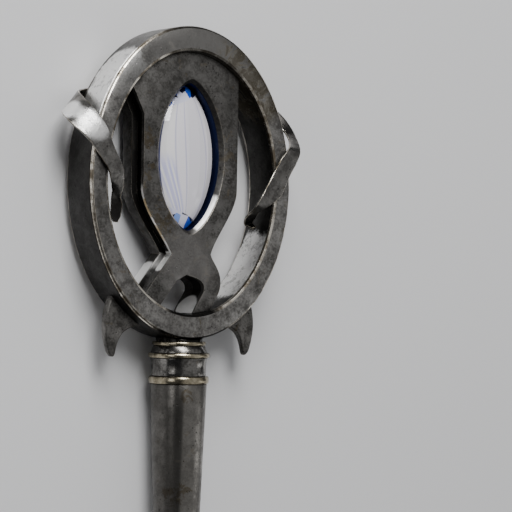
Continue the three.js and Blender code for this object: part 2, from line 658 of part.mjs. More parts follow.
// Materials
const steel = new THREE.MeshStandardMaterial({ color: 0x5e5c58, roughness: 0.42, metalness: 1 });
const darkSteel = new THREE.MeshStandardMaterial({ color: 0x4c4a47, roughness: 0.5, metalness: 1 });
const polished = new THREE.MeshStandardMaterial({ color: 0x77756f, roughness: 0.3, metalness: 1 });
const brass = new THREE.MeshStandardMaterial({ color: 0x8c7c5a, roughness: 0.38, metalness: 1 });
const crystal = new THREE.MeshStandardMaterial({
  color: 0xd9d6e6,
  roughness: 0.05,
  metalness: 0,
  transparent: true,
  opacity: 0.6,
});

const bandMiddleWhole = turned(
  bandProfile(bandMiddleY, BAND_MIDDLE_HEIGHT, COLLAR_CONE_RADIUS, BAND_MIDDLE_PROUD),
);
const bandMiddle = toGeometry(cutByFloor(toSolid(bandMiddleWhole)));
const bandTop = turned(bandProfile(bandTopY, BAND_TOP_HEIGHT, COLLAR_TOP_RADIUS, BAND_TOP_PROUD));
const bandBottom = turned(bandProfile(bandBottomY, BAND_BOTTOM_HEIGHT, SHAFT_TOP_RADIUS, BAND_BOTTOM_PROUD));

const pieces = [
  ["ring", ringGeometry(), steel],
  ["setting_plate", plateGeometry(), steel],
  ["stone", stoneGeometry(), crystal],
  ["claw_left", clawGeometry(-1), steel],
  ["claw_right", clawGeometry(1), steel],
  ["strap_left", strapGeometry(LEFT_STRAP_STOPS, LEFT_STRAP_WIDTH, -1), polished],
  ["strap_right", strapGeometry(RIGHT_STRAP_STOPS, RIGHT_STRAP_WIDTH, 1), polished],
  ["collar", collarGeometry(), polished],
  ["band_top", bandTop, brass],
  ["band_middle", bandMiddle, brass],
  ["band_bottom", bandBottom, brass],
  ["shaft", shaftGeometry(), darkSteel],
  ["grip_wire", wireGeometry(), brass],
  ["pommel", pommelGeometry(), polished],
];

// Laid down: the pommel's flat comes to the origin and the resting surface to Z = 0.
const sceptre = new THREE.Group();
for (const [name, geometry, material] of pieces) {
  const mesh = new THREE.Mesh(geometry, material);
  mesh.name = name;
  mesh.position.set(0, -pommelWideY, -pommelRestZ);
  sceptre.add(mesh);
}
const laid = new THREE.Group();
sceptre.rotation.x = -tilt;
laid.add(sceptre);

export default laid;
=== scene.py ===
import math

import bpy
from mathutils import Matrix, Vector


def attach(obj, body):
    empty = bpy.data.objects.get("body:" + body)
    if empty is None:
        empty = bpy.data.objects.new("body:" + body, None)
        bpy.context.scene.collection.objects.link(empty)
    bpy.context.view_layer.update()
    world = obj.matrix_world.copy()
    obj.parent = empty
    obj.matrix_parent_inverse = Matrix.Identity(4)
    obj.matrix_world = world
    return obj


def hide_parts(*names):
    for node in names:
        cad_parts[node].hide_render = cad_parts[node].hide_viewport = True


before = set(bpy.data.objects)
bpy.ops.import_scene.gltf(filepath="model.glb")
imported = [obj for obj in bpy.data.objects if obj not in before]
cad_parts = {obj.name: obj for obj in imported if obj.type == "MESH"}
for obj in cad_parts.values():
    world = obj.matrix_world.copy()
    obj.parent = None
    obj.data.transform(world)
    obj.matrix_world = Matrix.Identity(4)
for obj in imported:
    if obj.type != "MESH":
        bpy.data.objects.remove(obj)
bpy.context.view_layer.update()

# The sceptre is shaped round its own long axis in millimetres: X to the right of the head, Y from
# butt to head, Z out of the head's front, with the middle of the ring at zero. lay_down() then
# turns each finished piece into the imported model's frame, in metres.
MM = 0.001
GAP = 0.3

RING_OUTER = (87.5, 110.0)
RING_INNER = (73.0, 92.0)
RING_HALF_DEPTH = 15.4
RING_GROOVE_STOP = 14.5

PLATE_FRONT = 11.0
PLATE_BACK = -12.0
PLATE_HALF = 41.3
PLATE_WAIST_Y = -50.0
PLATE_WAIST_LEFT = 15.4
PLATE_WAIST_RIGHT = 18.4
PLATE_SHOULDER_Y = -4.0
PLATE_BELOW = -102.0
LEG_LEAN = math.radians(39.0)
LEFT_LEG_WIDTH = 15
RIGHT_LEG_WIDTH = 14.5
RIGHT_LEG_BULGE = 27.7
RIGHT_FOOT_X = 7
GROOVE_FRONT = PLATE_FRONT - 3.1
GROOVE_BACK = PLATE_FRONT - 12.6
CHEEK_BACK = PLATE_FRONT - 8.5

WINDOW_HALF = (26.5, 51.8)
WINDOW_Y = 18.3
WINDOW_CHAMFER = 3.2
WINDOW_MOUTH = (31.5, 57.5)

BAND_TOP_Y = -111.6
CONE_TOP_Y = -114.2
BAND_MIDDLE_Y = -119.6
SLEEVE_TOP_Y = -123.0
BAND_BOTTOM_Y = -136.0
SHAFT_TOP_Y = -141.2
GRIP_TOP_Y = -305.2
SHAFT_END_Y = -764.2
SHAFT_TOP_RADIUS = 20
GRIP_TOP_RADIUS = 13.8
GRIP_END_RADIUS = 11.3
POMMEL_WIDE_Y = -784.6
POMMEL_WIDE_RADIUS = 25.1
RESTING_Z = -24.2
TILT = math.atan2(-21.4 - RESTING_Z, -121.3 - POMMEL_WIDE_Y)

LAY = (
    Matrix.Rotation(-TILT, 4, "X")
    @ Matrix.Translation((0, -POMMEL_WIDE_Y * MM, -RESTING_Z * MM))
    @ Matrix.Scale(MM, 4)
)


def laid(x, y, z):
    """A point of the sceptre's own axes, in millimetres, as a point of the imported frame."""
    return LAY @ Vector((x, y, z))


# Camera

RING_UNIT = 110.0
CAMERA_DISTANCE = 12.46 * RING_UNIT
CAMERA_SWING = math.radians(39.3)
CAMERA_RISE = math.radians(-0.9)
CAMERA_ROLL = math.radians(0.9)
CAMERA_AIM_Y = -0.459 * RING_UNIT
CAMERA_AIM_RIGHT = 0.4845 * RING_UNIT
CAMERA_LENS = 136.4


def place_camera():
    """The camera looks down on the front of the head from its left."""
    back = Vector(
        (
            -math.sin(CAMERA_SWING) * math.cos(CAMERA_RISE),
            math.sin(CAMERA_RISE),
            math.cos(CAMERA_SWING) * math.cos(CAMERA_RISE),
        )
    )
    aim = Vector(
        (
            CAMERA_AIM_RIGHT * math.cos(CAMERA_SWING),
            CAMERA_AIM_Y,
            CAMERA_AIM_RIGHT * math.sin(CAMERA_SWING),
        )
    )
    right = (-back).cross(Vector((0, 1, 0))).normalized()
    up = right.cross(-back)
    turned = Matrix((right, up, back)).transposed() @ Matrix.Rotation(CAMERA_ROLL, 3, "Z")
    standing = Matrix.Translation(aim + back * CAMERA_DISTANCE) @ turned.to_4x4()
    place, turn, _ = (LAY @ standing).decompose()
    data = bpy.data.cameras.new("camera")
    data.lens = CAMERA_LENS
    data.sensor_width = 36
    data.clip_end = 50
    camera = bpy.data.objects.new("camera", data)
    camera.rotation_mode = "QUATERNION"
    camera.location = place
    camera.rotation_quaternion = turn
    bpy.context.scene.collection.objects.link(camera)
    bpy.context.scene.camera = camera


place_camera()


# Shaping tools


def deselect():
    if bpy.context.object and bpy.context.object.mode == "EDIT":
        bpy.ops.object.mode_set(mode="OBJECT")
    bpy.ops.object.select_all(action="DESELECT")


def hold(piece):
    """Makes a piece the only one selected and active."""
    deselect()
    piece.select_set(True)
    bpy.context.view_layer.objects.active = piece


def edit(piece, mode="VERT"):
    hold(piece)
    bpy.ops.object.mode_set(mode="EDIT")
    bpy.ops.mesh.select_mode(type=mode)


def leave():
    bpy.ops.object.mode_set(mode="OBJECT")


def tidy(piece, distance=1e-4):
    """Closes seams and poles and turns every face outwards."""
    edit(piece)
    bpy.ops.mesh.select_all(action="SELECT")
    bpy.ops.mesh.remove_doubles(threshold=distance)
    bpy.ops.mesh.normals_make_consistent(inside=False)
    leave()
    return piece


def draw_line(name, points):
    """A line of edges, drawn by pulling one vertex on from point to point."""
    deselect()
    bpy.ops.mesh.primitive_plane_add(size=1, location=(0, 0, 0))
    piece = bpy.context.object
    piece.name = piece.data.name = name
    bpy.ops.object.mode_set(mode="EDIT")
    bpy.ops.mesh.select_mode(type="VERT")
    bpy.ops.mesh.select_all(action="SELECT")
    bpy.ops.mesh.merge(type="CENTER")
    bpy.ops.transform.translate(value=points[0])
    for a, b in zip(points, points[1:]):
        step = Vector(b) - Vector(a)
        bpy.ops.mesh.extrude_region_move(TRANSFORM_OT_translate={"value": step})
    leave()
    return piece


def draw_slab(name, outline, low, high):
    """A flat piece with a drawn outline, from one height to another."""
    piece = draw_line(name, [(x, y, low) for x, y in outline])
    edit(piece)
    bpy.ops.mesh.select_all(action="SELECT")
    bpy.ops.mesh.edge_face_add()
    bpy.ops.mesh.extrude_region_move(TRANSFORM_OT_translate={"value": (0, 0, high - low)})
    leave()
    return tidy(piece)


def turn_profile(name, profile, segments=96):
    """A turned piece: its profile of radius and height is spun round the long axis."""
    piece = draw_line(name, [(r, y, 0) for r, y in profile])
    edit(piece)
    bpy.ops.mesh.select_all(action="SELECT")
    bpy.ops.mesh.spin(steps=segments, angle=2 * math.pi, center=(0, 0, 0), axis=(0, 1, 0))
    leave()
    return tidy(piece)


def apply_modifier(piece, kind, **settings):
    hold(piece)
    modifier = piece.modifiers.new(kind.lower(), kind)
    for key, value in settings.items():
        setattr(modifier, key, value)
    bpy.ops.object.modifier_apply(modifier=modifier.name)
    return piece


def combine(piece, other, operation):
    """Joins, cuts or trims a piece by another, which is used up."""
    apply_modifier(piece, "BOOLEAN", operation=operation, object=other, solver="EXACT")
    bpy.data.objects.remove(other)
    return piece


def round_edges(piece, width, segments=2, angle=30, worn=False):
    """Rounds every sharp edge. Where it is worn, the rounding gets the piece's second finish, of wear and
    painted highlights.
    """
    if worn:
        piece.data.materials.append(None)
        piece.data.materials.append(None)
    return apply_modifier(
        piece,
        "BEVEL",
        width=width,
        segments=segments,
        limit_method="ANGLE",
        angle_limit=math.radians(angle),
        use_clamp_overlap=True,
        material=1 if worn else -1,
    )


def lay_down(piece, node, smooth=35):
    """Smooths a finished piece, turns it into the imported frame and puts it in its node's place."""
    hold(piece)
    bpy.ops.object.shade_smooth_by_angle(angle=math.radians(smooth))
    piece.matrix_world = LAY @ piece.matrix_world
    bpy.ops.object.transform_apply(location=True, rotation=True, scale=True)
    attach(piece, "root")
    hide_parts(node)
    return piece


def bend_between(start, leave_by, arrive_by, end, steps):
    """Points of a curve from start to end, without its first point."""
    points = []
    for i in range(1, steps + 1):
        t = i / steps
        weights = ((1 - t) ** 3, 3 * t * (1 - t) ** 2, 3 * t**2 * (1 - t), t**3)
        corners = (start, leave_by, arrive_by, end)
        points.append(tuple(sum(w * c[k] for w, c in zip(weights, corners)) for k in range(2)))
    return points


def smooth_line(points, share):
    """A point on a smooth line through the points, at a share of the way along it."""
    spot = share * (len(points) - 1)
    i = min(int(spot), len(points) - 2)
    t = spot - i
    b, c = points[i], points[i + 1]
    a = points[i - 1] if i > 0 else 2 * b - c
    d = points[i + 2] if i + 2 < len(points) else 2 * c - b
    ab, bc, cd = (math.sqrt((q - p).length) for p, q in ((a, b), (b, c), (c, d)))
    leaving = ((b - a) / ab - (c - a) / (ab + bc) + (c - b) / bc) * bc
    arriving = ((c - b) / bc - (d - b) / (bc + cd) + (d - c) / cd) * bc
    return (
        b
        + leaving * t
        + (3 * (c - b) - 2 * leaving - arriving) * t**2
        + (2 * (b - c) + leaving + arriving) * t**3
    )


def between_stops(values, share):
    """The value at a share of the way along a list, in straight steps."""
    spot = share * (len(values) - 1)
    i = min(int(spot), len(values) - 2)
    return values[i] + (values[i + 1] - values[i]) * (spot - i)


def oval_tool(name, half, low, high):
    """A solid oval, for trimming pieces to the ring."""
    deselect()
    bpy.ops.mesh.primitive_cylinder_add(
        vertices=160, radius=1, depth=high - low, location=(0, 0, (high + low) / 2)
    )
    tool = bpy.context.object
    tool.name = name
    tool.scale = (half[0], half[1], 1)
    bpy.ops.object.transform_apply(location=True, rotation=True, scale=True)
    return tool


# Ring


def shape_ring():
    """One edge loop is pulled through the ring's section, loop by loop, and closed on itself."""
    outer, inner = RING_OUTER, RING_INNER
    front, back = RING_HALF_DEPTH, -RING_HALF_DEPTH
    section = [
        (outer, -1.7, back),
        (outer, -0.5, back + 0.5),
        (outer, 0, back + 1.7),
        (outer, 0, front - 2.9),
        (outer, -0.5, front - 2.65),
        (outer, -0.5, front - 2.35),
        (outer, 0, front - 2.1),
        (outer, -0.15, front - 1.5),
        (outer, -0.7, front - 0.6),
        (outer, -1.7, front),
        (inner, 2.3, front),
        (inner, 0.7, front - 0.7),
        (inner, 0, front - 2.3),
        (inner, 0, back + 2.3),
        (inner, 0.7, back + 0.7),
        (inner, 2.3, back),
        (outer, -7.0, back),
        (outer, -6.6, back + 0.5),
        (outer, -6.4, back + 3),
        (outer, -3.8, back + 3),
        (outer, -3.6, back + 0.5),
        (outer, -3.2, back),
    ]
    loops = [(wall[0] + off, wall[1] + off, z) for wall, off, z in section]
    deselect()
    bpy.ops.mesh.primitive_circle_add(vertices=192, radius=1, fill_type="NOTHING")
    piece = bpy.context.object
    piece.name = piece.data.name = "oval_ring"
    edit(piece)
    bpy.ops.mesh.select_all(action="SELECT")
    wide, tall, z = loops[0]
    bpy.ops.transform.resize(value=(wide, tall, 1))
    bpy.ops.transform.translate(value=(0, 0, z))
    for a, b in zip(loops, loops[1:] + loops[:1]):
        bpy.ops.mesh.extrude_region_move(TRANSFORM_OT_translate={"value": (0, 0, b[2] - a[2])})
        bpy.ops.transform.resize(value=(b[0] / a[0], b[1] / a[1], 1))
    leave()
    tidy(piece, 1e-3)
    fill_groove_over_shaft(piece)
    mark_ring_edges(piece)
    return piece


def select_where(piece, test):
    """Selects the vertices that a test passes, by their place."""
    edit(piece)
    bpy.ops.mesh.select_all(action="DESELECT")
    leave()
    for vertex in piece.data.vertices:
        vertex.select = test(vertex.co)
    bpy.ops.object.mode_set(mode="EDIT")


def mark_ring_edges(piece):
    """Gives the chamfers and the back rim the second finish, of edges worn bright with painted highlights.
    """
    for face in piece.data.polygons:
        x, y, z = face.center
        off_outer = 1 - math.hypot(x / RING_OUTER[0], y / RING_OUTER[1])
        off_inner = math.hypot(x / RING_INNER[0], y / RING_INNER[1]) - 1
        near_face = abs(z) > RING_HALF_DEPTH - 2.0
        flat = abs(face.normal.z) > 0.97
        chamfer = near_face and not flat and (off_outer < 0.025 or off_inner < 0.035)
        rim = z < -RING_HALF_DEPTH + 0.1 and off_outer < 0.035
        face.material_index = 1 if chamfer or rim else 0


def fill_groove_over_shaft(piece):
    """The back groove stops short of the shaft on both sides."""
    floor = -RING_HALF_DEPTH + 3

    def in_floor(co):
        across = math.hypot(co.x / (RING_OUTER[0] - 5.1), co.y / (RING_OUTER[1] - 5.1))
        over_shaft = co.y < 0 and abs(co.x) < RING_GROOVE_STOP
        return over_shaft and abs(co.z - floor) < 0.1 and abs(across - 1) < 0.05

    select_where(piece, in_floor)
    bpy.ops.transform.translate(value=(0, 0, -2.9))
    leave()


# Setting plate


def left_leg_x(y, growth=0.0):
    return -PLATE_WAIST_LEFT - growth / math.cos(LEG_LEAN) - math.tan(LEG_LEAN) * (PLATE_WAIST_Y - y)


def plate_outline(growth):
    half = PLATE_HALF + growth
    waist_left = left_leg_x(PLATE_WAIST_Y, growth)
    waist_right = PLATE_WAIST_RIGHT + growth
    taper = PLATE_WAIST_Y - PLATE_SHOULDER_Y
    leave_y = PLATE_SHOULDER_Y + 0.32 * taper
    meet_y = PLATE_SHOULDER_Y + 0.735 * taper
    taper_in = 0.53 * half
    bulge = RIGHT_LEG_BULGE + growth
    bulge_y = PLATE_WAIST_Y - 20.2
    foot = RIGHT_FOOT_X + RIGHT_LEG_WIDTH / 2 + growth
    points = [(half, 110), (half, PLATE_SHOULDER_Y)]
    points += bend_between(points[-1], (half, leave_y), (taper_in, meet_y), (waist_right, PLATE_WAIST_Y), 18)
    points += bend_between(
        points[-1],
        (waist_right + 2, PLATE_WAIST_Y - 6),
        (bulge, PLATE_WAIST_Y - 10),
        (bulge, bulge_y),
        14,
    )
    points += bend_between(
        points[-1],
        (bulge, bulge_y - 10),
        (foot + 3, PLATE_BELOW + 16),
        (foot, PLATE_BELOW),
        14,
    )
    points += [(left_leg_x(PLATE_BELOW, growth), PLATE_BELOW), (waist_left, PLATE_WAIST_Y)]
    points += bend_between(
        points[-1],
        (-taper_in, meet_y),
        (-half, leave_y),
        (-half, PLATE_SHOULDER_Y),
        18,
    )
    points += [(-half, 46), (-half - 10.5, 66), (-half - 10.5, 110)]
    return points


def fork_outline():
    fork_y = PLATE_WAIST_Y - 14.5
    edge_y = fork_y - 4.5
    hollow = RIGHT_LEG_BULGE - RIGHT_LEG_WIDTH
    hollow_y = PLATE_WAIST_Y - 24.2
    foot = RIGHT_FOOT_X - RIGHT_LEG_WIDTH / 2
    past = PLATE_BELOW - 1
    across = LEFT_LEG_WIDTH / math.cos(LEG_LEAN)
    points = [(foot, past), (foot, PLATE_BELOW)]
    points += bend_between(
        points[-1],
        (foot + 3, PLATE_BELOW + 16),
        (hollow, hollow_y - 5),
        (hollow, hollow_y),
        14,
    )
    points += bend_between(
        points[-1],
        (hollow, hollow_y + 7),
        (0.3 * hollow, fork_y - 2),
        (-2.5, fork_y),
        12,
    )
    points += [(left_leg_x(edge_y) + across, edge_y), (left_leg_x(past) + across, past)]
    return points


def pointed_half(half, share):
    """Half the width of the pointed oval at a share of its half height."""
    wide, tall = half
    y = min(1.0, abs(share)) * tall
    radius = (wide**2 + tall**2) / (2 * wide)
    arc = math.sqrt(radius**2 - y**2) - (radius - wide)
    oval = wide * math.sqrt(max(0.0, 1 - (y / tall) ** 2))
    return 0.55 * max(0.0, arc) + 0.45 * oval


def pointed_outline(half, count=72):
    points = []
    for i in range(count):
        turn = 2 * math.pi * i / count
        share = math.cos(turn)
        side = -1 if math.sin(turn) < 0 else 1
        wide = 0 if i % (count // 2) == 0 else side * pointed_half(half, share)
        points.append((wide, WINDOW_Y + half[1] * share))
    return points


def window_tool():
    """The window's cutter, wide at both faces and straight in the middle."""
    wide = tuple(v + WINDOW_CHAMFER for v in WINDOW_HALF)
    grow = (wide[0] / WINDOW_HALF[0], wide[1] / WINDOW_HALF[1], 1)
    shrink = tuple(1 / v for v in grow)
    over = 2.0
    tool = draw_line("window_tool", [(x, y, PLATE_BACK - over) for x, y in pointed_outline(wide)])
    edit(tool)
    bpy.ops.mesh.select_all(action="SELECT")
    bpy.ops.mesh.edge_face_add()
    centre = (0, WINDOW_Y, 0)
    for rise, scale in (
        (over, (1, 1, 1)),
        (WINDOW_CHAMFER, shrink),
        (PLATE_FRONT - PLATE_BACK - 2 * WINDOW_CHAMFER, (1, 1, 1)),
        (WINDOW_CHAMFER, grow),
        (over, (1, 1, 1)),
    ):
        bpy.ops.mesh.extrude_region_move(TRANSFORM_OT_translate={"value": (0, 0, rise)})
        bpy.ops.transform.resize(value=scale, center_override=centre)
    leave()
    return tidy(tool)


def cheek_outline():
    """The front half of the left leg's side, filled out almost flush with the face."""
    set_back = -0.6
    above = PLATE_WAIST_Y + 6
    top = left_leg_x(PLATE_WAIST_Y, set_back)
    low = left_leg_x(PLATE_BELOW, set_back)
    return [
        (top, PLATE_WAIST_Y),
        (top - 2.6, above),
        (top + 6, above),
        (low + 8, PLATE_BELOW),
        (low, PLATE_BELOW),
    ]


def shape_plate():
    """A face slab, a set-in core and a stepped rear slab in one, trimmed to the ring's bore."""
    piece = draw_slab("setting", plate_outline(0), GROOVE_FRONT, PLATE_FRONT)
    combine(piece, draw_slab("core", plate_outline(-3.5), PLATE_BACK + 1, PLATE_FRONT - 1), "UNION")
    combine(piece, draw_slab("cheek", cheek_outline(), CHEEK_BACK, PLATE_FRONT - 1), "UNION")
    combine(piece, draw_slab("rear", plate_outline(1.5), PLATE_BACK, GROOVE_BACK), "UNION")
    bore = tuple(v - GAP for v in RING_INNER)
    combine(piece, oval_tool("bore", bore, PLATE_BACK - 3, PLATE_FRONT + 3), "INTERSECT")
    combine(piece, draw_slab("fork", fork_outline(), PLATE_BACK - 3, PLATE_FRONT + 3), "DIFFERENCE")
    combine(piece, window_tool(), "DIFFERENCE")
    tidy(piece, 1e-3)
    return round_edges(piece, 0.7, worn=True)


# Stone


def shape_stone():
    """A lens with long facets that run from tip to tip, narrowed ring by ring to its point."""
    half = tuple(v - GAP for v in WINDOW_HALF)
    deselect()
    bpy.ops.mesh.primitive_uv_sphere_add(segments=16, ring_count=48, radius=1)
    piece = bpy.context.object
    piece.name = piece.data.name = "crystal_lens"
    edit(piece)
    bpy.ops.mesh.select_all(action="SELECT")
    bpy.ops.transform.rotate(value=math.pi / 2, orient_axis="X", center_override=(0, 0, 0))
    bpy.ops.transform.resize(value=(half[0], half[1], 8.5))
    leave()
    heights = sorted({round(v.co.y, 3) for v in piece.data.vertices})
    for y in heights[1:-1]:
        share = y / half[1]
        narrowed = pointed_half(half, share) / (half[0] * math.sqrt(1 - share**2))
        select_where(piece, lambda co: abs(co.y - y) < 0.01)
        bpy.ops.transform.resize(value=(narrowed, 1, narrowed**0.5), center_override=(0, y, 0))
        leave()
    edit(piece)
    bpy.ops.mesh.select_all(action="SELECT")
    bpy.ops.transform.translate(value=(0, WINDOW_Y, 0))
    leave()
    return tidy(piece)


# Claws

CLAW_TIP_Y = -RING_OUTER[1] - 12
CLAW_THINS_FROM = -99


def claw_outline():
    def ring_y(x):
        return -RING_OUTER[1] * math.sqrt(1 - (x / RING_OUTER[0]) ** 2)

    root_out, root_in, tip_x, belly = 60, 37.5, 59.5, 66
    out_y, in_y = ring_y(root_out), ring_y(root_in)
    points = [(root_out - 5, out_y + 5), (root_in, in_y + 5), (root_in, in_y - 1)]
    points += bend_between(
        points[-1],
        (tip_x - 9, in_y - 3),
        (tip_x - 5, CLAW_TIP_Y + 14),
        (tip_x - 3.2, CLAW_TIP_Y + 2.2),
        16,
    )
    points += bend_between(
        points[-1],
        (tip_x - 2.4, CLAW_TIP_Y - 0.5),
        (tip_x, CLAW_TIP_Y - 0.5),
        (tip_x + 2, CLAW_TIP_Y + 2.6),
        6,
    )
    points += bend_between(
        points[-1],
        (belly, CLAW_TIP_Y + 12),
        (belly + 1.6, out_y - 12),
        (root_out, out_y + 1),
        18,
    )
    return points


def shape_claw(name, side):
    """A fang with rounded edges, thinned towards its tip."""
    piece = draw_slab(name, claw_outline(), -1.8, 1.8)
    for facing in (-1, 1):
        edit(piece, "FACE")
        bpy.ops.mesh.select_all(action="DESELECT")
        leave()
        for face in piece.data.polygons:
            face.select = face.normal.z * facing > 0.9
        bpy.ops.object.mode_set(mode="EDIT")
        for thickness, depth in ((0.25, 0.7), (0.45, 0.45), (0.7, 0.25)):
            bpy.ops.mesh.inset(thickness=thickness, depth=depth, use_even_offset=True)
        leave()
    for drop in (0.25, 0.45, 0.65, 0.85):
        level = CLAW_THINS_FROM + (CLAW_TIP_Y - CLAW_THINS_FROM) * drop
        select_where(piece, lambda co: co.y < level)
        bpy.ops.transform.resize(value=(1, 1, 0.9), center_override=(0, 0, 0))
        leave()
    wall = tuple(v + GAP for v in RING_OUTER)
    combine(piece, oval_tool("wall", wall, -30, 30), "DIFFERENCE")
    if side < 0:
        edit(piece)
        bpy.ops.mesh.select_all(action="SELECT")
        bpy.ops.transform.resize(value=(-1, 1, 1), center_override=(0, 0, 0))
        leave()
    return tidy(piece, 1e-3)


# Straps

STRAP_THICKNESS = 1.6
STRAP_REST = RING_HALF_DEPTH + 1 + STRAP_THICKNESS / 2
LEFT_STRAP_WIDTH = 21
RIGHT_STRAP_WIDTH = 15


def beside(wall, up, off):
    """The distance from the middle to one of the ring's walls at a height, and a bit more."""
    return wall[0] * math.sqrt(1 - (up * RING_OUTER[1] / wall[1]) ** 2) + off


def outside(up, off, rise, across, wide):
    """A stop of a strap measured outwards from the ring's outer wall."""
    place = (beside(RING_OUTER, up, off), up * RING_OUTER[1], rise * STRAP_REST)
    return place, across, wide


def inside(up, off, rise, across, wide):
    """A stop of a strap measured inwards from the ring's bore."""
    place = (beside(RING_INNER, up, -off), up * RING_OUTER[1], rise * STRAP_REST)
    return place, across, wide


# Each stop: how far up the ring, how far off its wall, how far forward, which way the strap's width
# points, and its share of the strap's full width.
LEFT_STRAP = [
    outside(0.57, -12, -1, (0.5, 0.85, 0), 0.45),
    outside(0.52, -0.5, -1.05, (0.5, 0.85, 0), 0.65),
    outside(0.48, 12, -0.5, (0.65, 0.75, 0), 0.9),
    outside(0.44, 16, 0.1, (0.75, 0.65, 0), 1),
    outside(0.36, 11, 0.75, (0.9, 0.45, 0.1), 1),
    outside(0.27, 1, 1.05, (0.85, 0.5, 0), 0.85),
    outside(0.19, -7, 1, (0.95, 0.35, 0), 0.7),
    outside(0.12, -13, 1, (1, 0.2, 0), 0.65),
    inside(0.06, 3.5, 1, (1, 0.1, 0), 0.6),
    inside(-0.03, 7, 0.85, (1, -0.2, 0), 0.5),
    inside(-0.09, 8.5, 0.65, (0.7, -0.6, 0.35), 0.35),
    inside(-0.16, 9, 0.55, (1, -0.05, 0.25), 0.4),
    inside(-0.23, 8, 0.45, (1, -0.05, 0.3), 0.35),
    inside(-0.27, 7, 0.45, (1, 0, 0.3), 0.15),
]
RIGHT_STRAP = [
    outside(0.65, -10, -1, (-0.2, 1, 0), 0.6),
    outside(0.6, 0, -1.05, (0.3, 0.95, 0), 0.75),
    outside(0.54, 10, -0.65, (0.5, 0.85, 0), 0.65),
    outside(0.47, 14, -0.25, (0.6, 0.8, 0), 0.6),
    outside(0.4, 15, 0.1, (0.9, 0.4, 0), 0.5),
    outside(0.33, 12, 0.5, (1, 0.2, 0), 0.5),
    outside(0.25, 4.5, 1, (1, -0.25, 0), 0.75),
    outside(0.17, -4, 1.1, (1, -0.3, 0), 0.95),
    outside(0.09, -10, 1.05, (1, -0.3, 0), 0.95),
    outside(-0.03, -18, 1.05, (0.9, -0.45, 0), 1),
    inside(-0.11, 11, 1, (0.9, -0.4, 0.1), 0.6),
    inside(-0.16, 13.5, 0.7, (1, -0.2, 0), 0.35),
    inside(-0.2, 10.5, 0.2, (0.9, 0.1, 0.3), 0.55),
    inside(-0.24, 6.5, -0.15, (0.9, 0.3, 0.2), 0.45),
    inside(-0.27, 3.5, 0.1, (0.9, 0.3, 0.2), 0.2),
]


def shape_strap(name, stops, widest, side):
    """Two rails are drawn along the strap's edges, bridged, and given their thickness."""
    steps = 120
    places = [Vector((side * x, y, z)) for (x, y, z), _, _ in stops]
    across = [Vector(s[1]) for s in stops]
    widths = [widest * s[2] for s in stops]
    rails = []
    for edge in (-0.5, 0.5):
        points = []
        for i in range(steps + 1):
            share = i / steps
            point = smooth_line(places, share)
            point = point + between_stops(across, share).normalized() * between_stops(widths, share) * edge
            points.append(tuple(point))
        rails.append(draw_line(name, points))
    deselect()
    for rail in rails:
        rail.select_set(True)
    piece = bpy.context.view_layer.objects.active = rails[0]
    bpy.ops.object.join()
    edit(piece, "EDGE")
    bpy.ops.mesh.select_all(action="SELECT")
    bpy.ops.mesh.bridge_edge_loops(number_cuts=5, interpolation="LINEAR")
    leave()
    tidy(piece)
    apply_modifier(piece, "SOLIDIFY", thickness=STRAP_THICKNESS, offset=0, use_even_offset=False)
    return round_edges(piece, 0.4, 2, 50, worn=True)


# Turned pieces


def cut_flat(piece):
    """Cuts the small flat that the sceptre lies on."""
    normal = Matrix.Rotation(TILT, 3, "X") @ Vector((0, 0, 1))
    edit(piece)
    bpy.ops.mesh.select_all(action="SELECT")
    bpy.ops.mesh.bisect(
        plane_co=(0, POMMEL_WIDE_Y, RESTING_Z), plane_no=normal, clear_inner=True, use_fill=True
    )
    leave()
    return piece


def shape_collar():
    end = BAND_BOTTOM_Y + GAP
    profile = [
        (0, end),
        (19.3, end),
        (19.3, end + 3),
        (19.15, end + 5),
        (19.2, end + 7.5),
        (19.6, end + 10),
        (20.2, SLEEVE_TOP_Y - GAP - 0.6),
        (20.4, SLEEVE_TOP_Y - GAP),
        (18.8, SLEEVE_TOP_Y - GAP),
        (18.8, BAND_MIDDLE_Y + GAP),
        (20.2, BAND_MIDDLE_Y + GAP),
        (18.1, CONE_TOP_Y - GAP),
        (16.5, CONE_TOP_Y - GAP),
        (16.5, -101),
        (0, -101),
    ]
    piece = turn_profile("collar_sleeve", profile)
    wall = tuple(v + GAP for v in RING_OUTER)
    combine(piece, oval_tool("saddle", wall, -40, 40), "DIFFERENCE")
    return round_edges(tidy(piece, 1e-3), 0.25, 2, 25)


def shape_band(name, top, height, radius, proud, flat=False):
    inner = radius - 1.6 + GAP
    middle = top - height / 2
    profile = [(inner, top - height), (radius + 0.25 * proud, top - height)]
    for i in range(-4, 5):
        swell = math.sqrt(max(0.0, 1 - (i / 5) ** 2))
        profile.append((radius + proud * (0.25 + 0.75 * swell), middle + 0.42 * height * i / 4))
    profile += [(radius + 0.25 * proud, top), (inner, top), (inner, top - height)]
    piece = turn_profile(name, profile)
    if flat:
        cut_flat(piece)
    return piece


def shape_shaft():
    spigot = 18.4
    profile = [(0, SHAFT_END_Y)]
    grip_rise = GRIP_TOP_Y - SHAFT_END_Y
    for i in range(9):
        radius = GRIP_END_RADIUS + (GRIP_TOP_RADIUS - GRIP_END_RADIUS) * i / 8
        profile.append((radius, SHAFT_END_Y + grip_rise * i / 8))
    shaft_rise = SHAFT_TOP_Y - GAP - GRIP_TOP_Y
    for i in range(1, 9):
        radius = GRIP_TOP_RADIUS + (SHAFT_TOP_RADIUS - GRIP_TOP_RADIUS) * i / 8
        profile.append((radius, GRIP_TOP_Y + shaft_rise * i / 8))
    profile += [(spigot, SHAFT_TOP_Y - GAP), (spigot, BAND_BOTTOM_Y), (0, BAND_BOTTOM_Y)]
    return round_edges(turn_profile("tapered_shaft", profile), 0.3, 2, 25)


